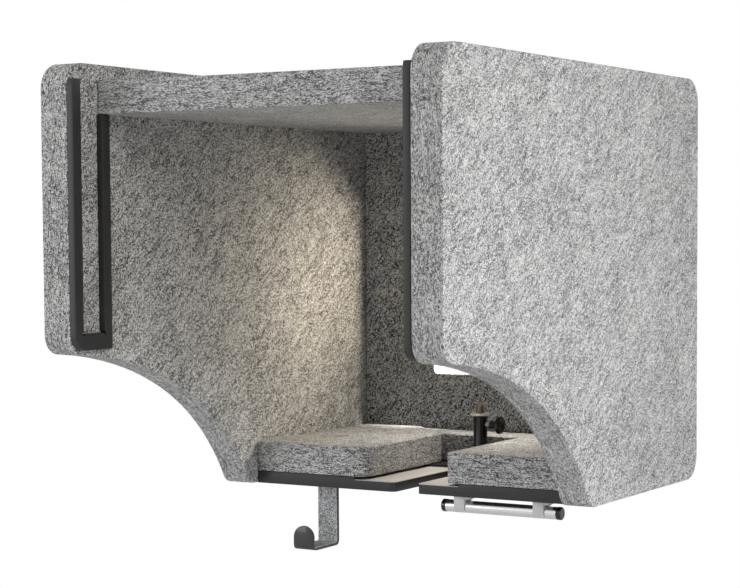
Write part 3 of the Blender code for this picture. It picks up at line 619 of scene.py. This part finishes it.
def plated(name, colour, roughness, lay):
    """Plated metal with fine turning marks; lay is the grain of the marks on each axis."""
    material, wires, shader, place = new_finish(name)
    marks = place.stretched(lay).noise(1.0, 3.0, 0.7)
    breath = place.noise(150.0, 3.0, 0.6)
    wires.fill(shader, {"Base Color": breath.mix((*colour, 1.0), tuple(0.82 * c for c in colour) + (1.0,)),
                        "Metallic": 1.0, "Roughness": roughness + 0.22 * (marks - 0.4) + 0.1 * breath,
                        "Normal": marks.bump(0.00003, 0.5)})
    return material


nickel = plated("satin_nickel", (0.78, 0.73, 0.66), 0.30, (0.004, 0.004, 0.0002))
# The thread uses a darker copy of the satin nickel: painted shade standing for the dark surroundings it
# reflects.
shaded_thread_nickel = plated("shaded_thread_nickel", (0.42, 0.38, 0.33), 0.20, (0.004, 0.004, 0.0002))
shoulder = post_top.z - 0.0005
rod_stem = [(0.0078, rod_low.z), (0.0088, rod_low.z + 0.001), (0.0088, shoulder - 0.0003), (0.0085, shoulder),
            (0.00735, shoulder)]
rod = threaded("mic_thread_rod", "Z", (0.0, post_y, 0.0), shoulder + 0.0006, rod_top.z, radius=0.00795,
               depth=0.00052, pitch=0.00094, finish=shaded_thread_nickel, extra=rod_stem, segments=48)
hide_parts("mic_rod")
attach(rod, "mic_rod")

low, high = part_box("lock_ring")


def finger_notches(radius, height, turn, count=20, depth=0.0008):
    """Square-bottomed notches in the ring's rim."""
    rim_from, flank, between_notches = 0.0160, 2.4, 0.7
    if radius < rim_from:
        return radius
    return radius - depth * min(1.0, max(0.0, flank * cos(count * turn) - between_notches))


rim = [(0.00825, 0.0004), (0.0087, 0.0), (0.0158, 0.0), (0.0166, 0.0002), (0.0173, 0.0009), (0.0175, 0.0014)]
ring_side = [(r, low.z + rise) for r, rise in rim] + [(r, high.z - rise) for r, rise in rim[::-1]]
ring = lathe("lock_ring_part", ring_side, "Z", (0.0, post_y, 0.0), nickel, segments=240,
             ripple=finger_notches, angle=38.0)
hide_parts("lock_ring")
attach(ring, "lock_ring")

# Clamp screw and knob
# A zinc-plated 8 mm screw goes through the post's wall and presses on the rod. Its black
# moulded knob has a neck and a disc with eight shallow finger flutes.
low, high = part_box("clamp_screw")
clamp_z = (low.z + high.z) / 2
screw = threaded("clamp_screw_part", "X", (0.0, post_y, clamp_z), low.x, high.x, radius=0.004,
                 depth=0.0006, pitch=0.00125, finish=zinc, segments=36)
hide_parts("clamp_screw")
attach(screw, "clamp_screw")

moulded = powder_coat("moulded_black", (0.0040, 0.0040, 0.0043), 0.24)
neck_low, knob_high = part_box("clamp_knob")
disc = knob_high.x - 0.007


def finger_flutes(radius, height, turn):
    """Eight flutes round the disc and fine ribs round the neck."""
    flutes, flute_depth, ribs, rib_depth = 8, 0.00085, 32, 0.00018
    disc_from, neck_from, neck_to, ribs_start = 0.0125, 0.0064, 0.0072, neck_low.x + 0.0008
    if radius > disc_from:
        return radius - flute_depth * (0.5 + 0.5 * cos(flutes * turn)) ** 2.0
    if neck_from < radius < neck_to and height > ribs_start:
        return radius - rib_depth * (0.5 + 0.5 * cos(ribs * turn))
    return radius


neck = [(0.0, 0.0123), (0.0043, 0.0123), (0.0043, 0.0003), (0.0046, 0.0), (0.0062, 0.0), (0.0067, 0.0004),
        (0.0070, 0.0012)]
grip = [(0.0070, -0.0024), (0.0075, -0.0010), (0.0088, 0.0), (0.0130, 0.0), (0.0144, 0.0004),
        (0.0154, 0.0013), (0.01575, 0.0024), (0.01575, 0.0046), (0.0154, 0.0057), (0.0144, 0.0066),
        (0.0130, 0.0070), (0.0106, 0.0069), (0.0098, 0.0062), (0.0040, 0.0060), (0.0, 0.0060)]
knob_side = [(r, neck_low.x + along) for r, along in neck] + [(r, disc + along) for r, along in grip]
knob = lathe("clamp_knob_part", knob_side, "X", (0.0, post_y, clamp_z), moulded, segments=192,
             ripple=finger_flutes, angle=42.0)
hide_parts("clamp_knob")
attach(knob, "clamp_knob")

# Headphone hook
# A 3 mm steel strip, bent twice, powder-coated black and screwed under the floor board. A strip
# of thin grey felt is glued inside it, so that it doesn't mark the headband.
strip_black = powder_coat("strip_black", (0.022, 0.0215, 0.021), 0.42)
hook = trimmed("headphone_hook", "hook_strip", 0.0004, strip_black)


def swept_felt(name, path, half_widths, thickness, finish, centre_x):
    """A thin felt strip along a (y, z) path, lying on the path's left side."""
    edge, lump_height, worn_back = thickness * 0.32, 0.00007, 0.00006
    shape = bmesh.new()
    loops = []
    for i, here in enumerate(path):
        ahead = (path[min(i + 1, len(path) - 1)] - path[max(i - 1, 0)]).normalized()
        left = Vector((-ahead.y, ahead.x))
        half = half_widths[i]
        across = [(half - edge) * (k / 9 - 1.0) for k in range(19)]
        ring = [(x, 0.0) for x in across] + [(half, edge), (half, thickness - edge)]
        ring += [(x, thickness) for x in reversed(across)] + [(-half, thickness - edge), (-half, edge)]
        spots = [(x, here + left * rise) for x, rise in ring]
        loops.append([shape.verts.new((centre_x + x, spot.x, spot.y)) for x, spot in spots])
    bridged(shape, loops)
    shape.faces.new(loops[0])
    shape.faces.new(loops[-1])
    bmesh.ops.recalc_face_normals(shape, faces=shape.faces)
    shape.normal_update()
    for vert in shape.verts:
        lump = noise.noise(vert.co * 260.0) + 0.6 * noise.noise(vert.co * 700.0)
        vert.co += vert.normal * (lump_height * lump - worn_back)
    return placed(name, shape, finish)


low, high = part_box("hook_lining")
bend, lip, felt_step, tip_half = 0.0052, 0.0365, 0.0018, 0.003
corners = [(high.y, high.z), (high.y, low.z), (low.y, low.z), (low.y, low.z + lip)]
path = []
for (y, z), radius in zip(corners, (0.0, bend, bend, 0.0)):
    here = Vector((y, z))
    if radius == 0.0:
        path.append(here)
        continue
    before = Vector((0.0, 1.0)) if y == high.y else Vector((1.0, 0.0))
    after = Vector((-1.0, 0.0)) if y == high.y else Vector((0.0, 1.0))
    middle = here + (before + after) * radius
    first, last = -after, -before
    path += [middle + (first * cos(t) + last * sin(t)) * radius for t in [pi / 2 * k / 7 for k in range(8)]]
spaced = [path[0]]
for here in path[1:]:
    parts = max(1, round((here - spaced[-1]).length / felt_step))
    spaced += [spaced[-1].lerp(here, (k + 1) / parts) for k in range(parts)]
lining_half = (high.x - low.x) / 2
round_from = spaced[-1].y - lining_half
widths = []
for here in spaced:
    rise = here.y - round_from
    on_lip = here.x < low.y + 0.002 and rise > 0
    widths.append(max(sqrt(max(lining_half ** 2 - rise ** 2, 0.0)), tip_half) if on_lip else lining_half)
lining_felt = felt_finish("lining_felt", 1, 70.0, dark=(0.16, 0.16, 0.165), light=(0.66, 0.665, 0.67))
lining = swept_felt("hook_felt", spaced[::-1], widths[::-1], 0.0023, lining_felt, (low.x + high.x) / 2)
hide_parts("hook_lining")
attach(lining, "booth")

# Accessory tube and its caps
# A chromed steel tube of 20 mm for clamp-on gear under the right pad, closed by two black caps
# that are pushed into its ends.
low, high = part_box("accessory_tube")
tube_y, tube_z = (low.y + high.y) / 2, (low.z + high.z) / 2
chrome = plated("polished_chrome", (0.64, 0.64, 0.635), 0.12, (0.03, 0.0006, 0.0006))
inner, outer = 0.0085, 0.0100
tube_wall = eased([(inner, low.x), (outer, low.x), (outer, high.x), (inner, high.x)], 0.0003)
tube = lathe("chrome_tube", tube_wall, "X", (0.0, tube_y, tube_z), chrome, segments=96)
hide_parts("accessory_tube")
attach(tube, "booth")
for side, way in (("left", 1.0), ("right", -1.0)):
    low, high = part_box("tube_cap_" + side)
    face = low.x if way > 0 else high.x
    seat, tip = face + way * 0.0077, face + way * 0.022
    cap_side = [(0.0, face + way * 0.0004), (0.0050, face + way * 0.0004), (0.0056, face), (0.0082, face),
                (0.0093, face + way * 0.0003), (0.0101, face + way * 0.0010), (0.0104, face + way * 0.0021),
                (0.0104, seat - way * 0.0004), (0.0101, seat), (0.0082, seat), (0.0082, seat + way * 0.002),
                (0.0078, seat + way * 0.003), (0.0082, seat + way * 0.004), (0.0080, tip), (0.0, tip)]
    cap = lathe("tube_end_cap_" + side, cap_side, "X", (0.0, tube_y, tube_z), moulded, segments=72)
    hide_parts("tube_cap_" + side)
    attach(cap, "booth")

# Snap clips
# Light grey moulded clips that the tube snaps into, each with three ribs round its band and a
# foot for one screw. The ribs are one arc, repeated across the band.


def geometry_tree(name, inputs):
    """A Geometry Nodes tree with one input for each named size."""
    tree = bpy.data.node_groups.new(name, "GeometryNodeTree")
    tree.interface.new_socket("Geometry", in_out="OUTPUT", socket_type="NodeSocketGeometry")
    tree.interface.new_socket("Geometry", in_out="INPUT", socket_type="NodeSocketGeometry")
    for label, kind in inputs.items():
        tree.interface.new_socket(label, in_out="INPUT", socket_type="NodeSocket" + kind)
    return tree, tree.nodes.new("NodeGroupInput"), tree.nodes.new("NodeGroupOutput")


def geo(tree, kind, settings, sockets):
    """A node in a geometry tree, with its settings and then its sockets."""
    made = tree.nodes.new(kind)
    for key, value in settings.items():
        setattr(made, key, value)
    for key, value in sockets.items():
        if isinstance(value, bpy.types.NodeSocket):
            tree.links.new(value, made.inputs[key])
        else:
            made.inputs[key].default_value = value
    return made


def grown(name, base, tree, values):
    """A plain mesh object from a tree on a base mesh; values go to the inputs by identifier."""
    seed = bpy.data.objects.new(name + "_seed", base)
    bpy.context.scene.collection.objects.link(seed)
    change = seed.modifiers.new(name, "NODES")
    change.node_group = tree
    for item in tree.interface.items_tree:
        if item.in_out == "INPUT" and item.name in values:
            change[item.identifier] = values[item.name]
    shown = bpy.context.evaluated_depsgraph_get()
    mesh = bpy.data.meshes.new_from_object(seed.evaluated_get(shown))
    bpy.data.objects.remove(seed)
    mesh.name = name
    made = bpy.data.objects.new(name, mesh)
    bpy.context.scene.collection.objects.link(made)
    return made


clip_grey, wires, shader, place = new_finish("clip_grey")
skin = place.noise(800.0, 3.0, 0.6)
cloudy = place.noise(110.0, 3.0, 0.6)
wires.fill(shader, {"Base Color": cloudy.mix((0.44, 0.44, 0.435, 1.0), (0.53, 0.53, 0.52, 1.0)),
                    "Roughness": 0.34 + 0.2 * cloudy, "Normal": skin.bump(0.00006, 0.5),
                    "Subsurface Weight": 0.08, "Subsurface Radius": (0.002, 0.002, 0.002)})

rib_tree, taken, given = geometry_tree("clip_ribs", {
    "Arc radius": "Float", "Arc start": "Float", "Arc sweep": "Float", "Rib radius": "Float",
    "Rib count": "Int", "Rib pitch": "Vector", "First rib": "Vector", "Finish": "Material"})
rib_arc = geo(rib_tree, "GeometryNodeCurveArc", {}, {
    "Resolution": 40, "Radius": taken.outputs["Arc radius"], "Start Angle": taken.outputs["Arc start"],
    "Sweep Angle": taken.outputs["Arc sweep"]})
stood = geo(rib_tree, "GeometryNodeTransform", {}, {
    "Geometry": rib_arc.outputs["Curve"], "Rotation": (pi / 2, 0.0, pi / 2)})
bead = geo(rib_tree, "GeometryNodeCurvePrimitiveCircle", {}, {
    "Resolution": 10, "Radius": taken.outputs["Rib radius"]})
rib = geo(rib_tree, "GeometryNodeCurveToMesh", {}, {
    "Curve": stood.outputs["Geometry"], "Profile Curve": bead.outputs["Curve"], "Fill Caps": True})
row = geo(rib_tree, "GeometryNodeMeshLine", {}, {
    "Count": taken.outputs["Rib count"], "Start Location": taken.outputs["First rib"],
    "Offset": taken.outputs["Rib pitch"]})
ribs = geo(rib_tree, "GeometryNodeInstanceOnPoints", {}, {
    "Points": row.outputs["Mesh"], "Instance": rib.outputs["Mesh"]})
solid = geo(rib_tree, "GeometryNodeRealizeInstances", {}, {"Geometry": ribs.outputs["Instances"]})
smooth = geo(rib_tree, "GeometryNodeSetShadeSmooth", {}, {"Geometry": solid.outputs["Geometry"]})
joined = geo(rib_tree, "GeometryNodeJoinGeometry", {}, {})
rib_tree.links.new(taken.outputs["Geometry"], joined.inputs["Geometry"])
rib_tree.links.new(smooth.outputs["Geometry"], joined.inputs["Geometry"])
dressed = geo(rib_tree, "GeometryNodeSetMaterial", {}, {
    "Geometry": joined.outputs["Geometry"], "Material": taken.outputs["Finish"]})
rib_tree.links.new(dressed.outputs["Geometry"], given.inputs["Geometry"])

for side in ("left", "right"):
    node = "pipe_clip_" + side
    low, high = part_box(node)
    body = trimmed(node, node + "_body", 0.0004, clip_grey)
    base = body.data.copy()
    bpy.data.objects.remove(body)
    first_rib, rib_pitch = low.x + 0.0024, 0.0066
    clip = grown(node + "_part", base, rib_tree, {
        "Arc radius": 0.0125, "Arc start": pi, "Arc sweep": radians(43), "Rib radius": 0.0009,
        "Rib count": 3, "Rib pitch": (rib_pitch, 0.0, 0.0), "First rib": (first_rib, tube_y, tube_z),
        "Finish": clip_grey})
    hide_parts(node)
    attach(clip, "booth")

# Screws under the floor board
# Four zinc-plated pan-head screws with cross recesses: two through the hook's flange and one
# through each clip's foot. One screw is modelled and set on four points, each turned its own way.
screw_nodes = ["hook_screw_left", "hook_screw_right", "clip_screw_left", "clip_screw_right"]
head_radius, head_height, shank, shank_length = 0.0040, 0.0024, 0.0020, 0.0150
recess_half, recess_reach, recess_depth, recess_middle = 0.00062, 0.0022, 0.0014, 0.0016
recess_end, recess_wall, dome, dome_power, rows = 0.0005, 0.00022, 0.62, 2.6, 14
turns = [tau * k / 48 for k in range(48)]
shape = bmesh.new()
rings = [[shape.verts.new((0.0, 0.0, -head_height + recess_middle))]]
for row in range(1, rows + 1):
    r = head_radius * row / rows
    rise = head_height * (1 - dome * (r / head_radius) ** dome_power)
    inner = min(1.0, max(0.0, (recess_reach - r) / recess_end))
    ring = []
    for turn in turns:
        x, y = r * cos(turn), r * sin(turn)
        cross = inner * min(1.0, max(0.0, (recess_half - min(abs(x), abs(y))) / recess_wall))
        ring.append(shape.verts.new((x, y, -rise + recess_depth * cross)))
    rings.append(ring)
for r, z in ((head_radius, 0.0), (shank + 0.0001, 0.0), (shank, 0.002), (shank, shank_length - 0.003),
             (0.0004, shank_length)):
    rings.append([shape.verts.new((r * cos(turn), r * sin(turn), z)) for turn in turns])
bridged(shape, rings)
shape.faces.new(rings[-1])
bmesh.ops.recalc_face_normals(shape, faces=shape.faces)
screw_mesh = bpy.data.meshes.new("pan_screw")
shape.to_mesh(screw_mesh)
shape.free()
screw_mesh.shade_smooth()
screw_mesh.set_sharp_from_angle(angle=radians(40))
screw_model = bpy.data.objects.new("pan_screw_model", screw_mesh)

screw_tree, taken, given = geometry_tree("screws_on_points", {
    "Screw": "Object", "Screw scale": "Float", "Turn seed": "Int", "Finish": "Material"})
model = geo(screw_tree, "GeometryNodeObjectInfo", {}, {"Object": taken.outputs["Screw"]})
turn = geo(screw_tree, "FunctionNodeRandomValue", {"data_type": "FLOAT_VECTOR"}, {
    0: (0.0, 0.0, 0.0), 1: (0.0, 0.0, 1.57), "Seed": taken.outputs["Turn seed"]})
set_in = geo(screw_tree, "GeometryNodeInstanceOnPoints", {}, {
    "Points": taken.outputs["Geometry"], "Instance": model.outputs["Geometry"], "Rotation": turn.outputs[0],
    "Scale": taken.outputs["Screw scale"]})
solid = geo(screw_tree, "GeometryNodeRealizeInstances", {}, {"Geometry": set_in.outputs["Instances"]})
dressed = geo(screw_tree, "GeometryNodeSetMaterial", {}, {
    "Geometry": solid.outputs["Geometry"], "Material": taken.outputs["Finish"]})
screw_tree.links.new(dressed.outputs["Geometry"], given.inputs["Geometry"])
points = bpy.data.meshes.new("screw_points")
boxes = [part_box(node) for node in screw_nodes]
points.from_pydata([((a.x + b.x) / 2, (a.y + b.y) / 2, a.z + head_height) for a, b in boxes], [], [])
screws = grown("underside_screws", points, screw_tree, {
    "Screw": screw_model, "Screw scale": 1.0, "Turn seed": 4, "Finish": zinc})
bpy.data.objects.remove(screw_model)
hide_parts(*screw_nodes)
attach(screws, "booth")

# Dowels
# Fluted beech dowels across each joint between a side panel and the board beside it, hidden
# once the booth is glued up.
beech, wires, shader, place = new_finish("raw_beech")
rays = place.stretched((0.012, 0.0006, 0.0006)).noise(1.0, 3.0, 0.6)
wires.fill(shader, {"Base Color": rays.mix((0.40, 0.26, 0.14, 1.0), (0.60, 0.43, 0.26, 1.0)),
                    "Roughness": 0.55 + 0.2 * rays, "Normal": rays.bump(0.0001, 0.4)})
for name, node in nodes.items():
    if "_dowel_" in name:
        node.data.materials.clear()
        node.data.materials.append(beech)

# Studio
# A pale floor far under the booth and a white surround, lit by a key from the front right, a
# cool wash from the right and a fill from the front left. Four small lamps in the window's
# opening stand for the light that comes in through it.
floor_drop, floor_radius = 1.3, 3.2
disc = bmesh.new()
bmesh.ops.create_circle(disc, cap_ends=True, segments=96, radius=floor_radius)
floor_mesh = bpy.data.meshes.new("studio_floor")
disc.to_mesh(floor_mesh)
disc.free()
floor_mesh.transform(Matrix.Translation((0.0, 0.0, -floor_drop)))
pale, wires, shader, place = new_finish("studio_floor")
away = wires.node("VectorMath", {"operation": "LENGTH"}, {0: place.stretched((1.0, 1.0, 1e9))}, "Value")
wires.fill(shader, {"Base Color": (0.86, 0.86, 0.86, 1.0), "Roughness": 0.9, "Alpha": away.between(3.1, 1.6)})
floor_mesh.materials.append(pale)
studio_floor = bpy.data.objects.new("studio_floor", floor_mesh)
bpy.context.scene.collection.objects.link(studio_floor)

world = bpy.context.scene.world or bpy.data.worlds.new("studio")
bpy.context.scene.world = world
world.use_nodes = True
wires = Wire(world.node_tree)
seen = wires.node("LightPath", {}, {}, "Is Camera Ray")
for ray in ("Is Glossy Ray", "Is Transmission Ray"):
    seen = wires.math("MAXIMUM", seen, wires.node("LightPath", {}, {}, ray))
backdrop = world.node_tree.nodes["Background"]
wires.fill(backdrop, {"Color": (1.0, 1.0, 1.0, 1.0), "Strength": seen * 0.35 + 0.65})


def soft_light(name, place, target, size, power, colour, spread=180.0):
    """A rectangular soft light that faces its target. Only a full spread shows in reflections."""
    lamp = bpy.data.lights.new(name, "AREA")
    lamp.shape = "RECTANGLE"
    lamp.size, lamp.size_y = size
    lamp.energy = power
    lamp.color = colour
    lamp.spread = radians(spread)
    made = bpy.data.objects.new(name, lamp)
    made.location = place
    made.rotation_euler = (Vector(target) - Vector(place)).to_track_quat("-Z", "Y").to_euler()
    made.visible_camera = False
    made.visible_glossy = spread >= 180.0
    bpy.context.scene.collection.objects.link(made)


lamps = [
    ("high_key", (3.4, -2.2, 2.0), (0.0, -0.3, 0.3), (1.4, 1.4), 49.0, (1.0, 0.955, 0.90)),
    ("side_wash", (1.45, -0.55, 0.30), (0.292, -0.45, 0.30), (0.4, 0.4), 9.5, (0.95, 0.98, 1.0)),
    ("front_fill", (-2.0, -2.6, 0.6), (0.0, -0.7, 0.4), (1.2, 1.2), 27.0, (0.94, 0.97, 1.0)),
    ("sill_down", (0.03, 0.176, 0.43), (0.05, -0.10, 0.07), (0.18, 0.014), 1.15, (1.0, 0.91, 0.80), 96.0),
    ("wall_graze", (0.10, 0.172, 0.445), (-0.292, -0.08, 0.30), (0.05, 0.014), 0.8, (1.0, 0.865, 0.67), 78.0),
    ("sill_glow", (0.02, 0.162, 0.40), (-0.132, 0.157, 0.172), (0.02, 0.012), 0.17, (1.0, 0.98, 0.96), 28.0),
    ("roof_graze", (0.02, 0.172, 0.22), (0.14, -0.40, 0.60), (0.10, 0.03), 0.44, (1.0, 0.88, 0.72), 80.0)]
for lamp in lamps:
    soft_light(*lamp)

frame_wide, frame_high, focal_pixels = 740.0, 588.0, 2003.6
middle_x, middle_y = 394.35, 353.5
lens = bpy.data.cameras.new("camera")
lens.sensor_width = 36.0
lens.lens = focal_pixels * lens.sensor_width / frame_wide
lens.shift_x = (frame_wide / 2 - middle_x) / frame_wide
lens.shift_y = (middle_y - frame_high / 2) / frame_wide
lens.clip_start, lens.clip_end = 0.05, 60.0
camera_place = Vector((1.62582, -3.03783, 0.43290))
yaw, pitch, roll = 0.52949, 0.06298, -0.00556
ahead = Vector((-sin(yaw) * cos(pitch), cos(yaw) * cos(pitch), -sin(pitch)))
right = Vector((cos(yaw), sin(yaw), 0.0))
up = right.cross(ahead)
tilted_right = right * cos(roll) + up * sin(roll)
tilted_up = up * cos(roll) - right * sin(roll)
camera = bpy.data.objects.new("camera", lens)
bpy.context.scene.collection.objects.link(camera)
facing = Matrix((tilted_right, tilted_up, -ahead)).transposed().to_4x4()
camera.matrix_world = Matrix.Translation(camera_place) @ facing
bpy.context.scene.camera = camera
bpy.context.scene.view_settings.view_transform = "Standard"
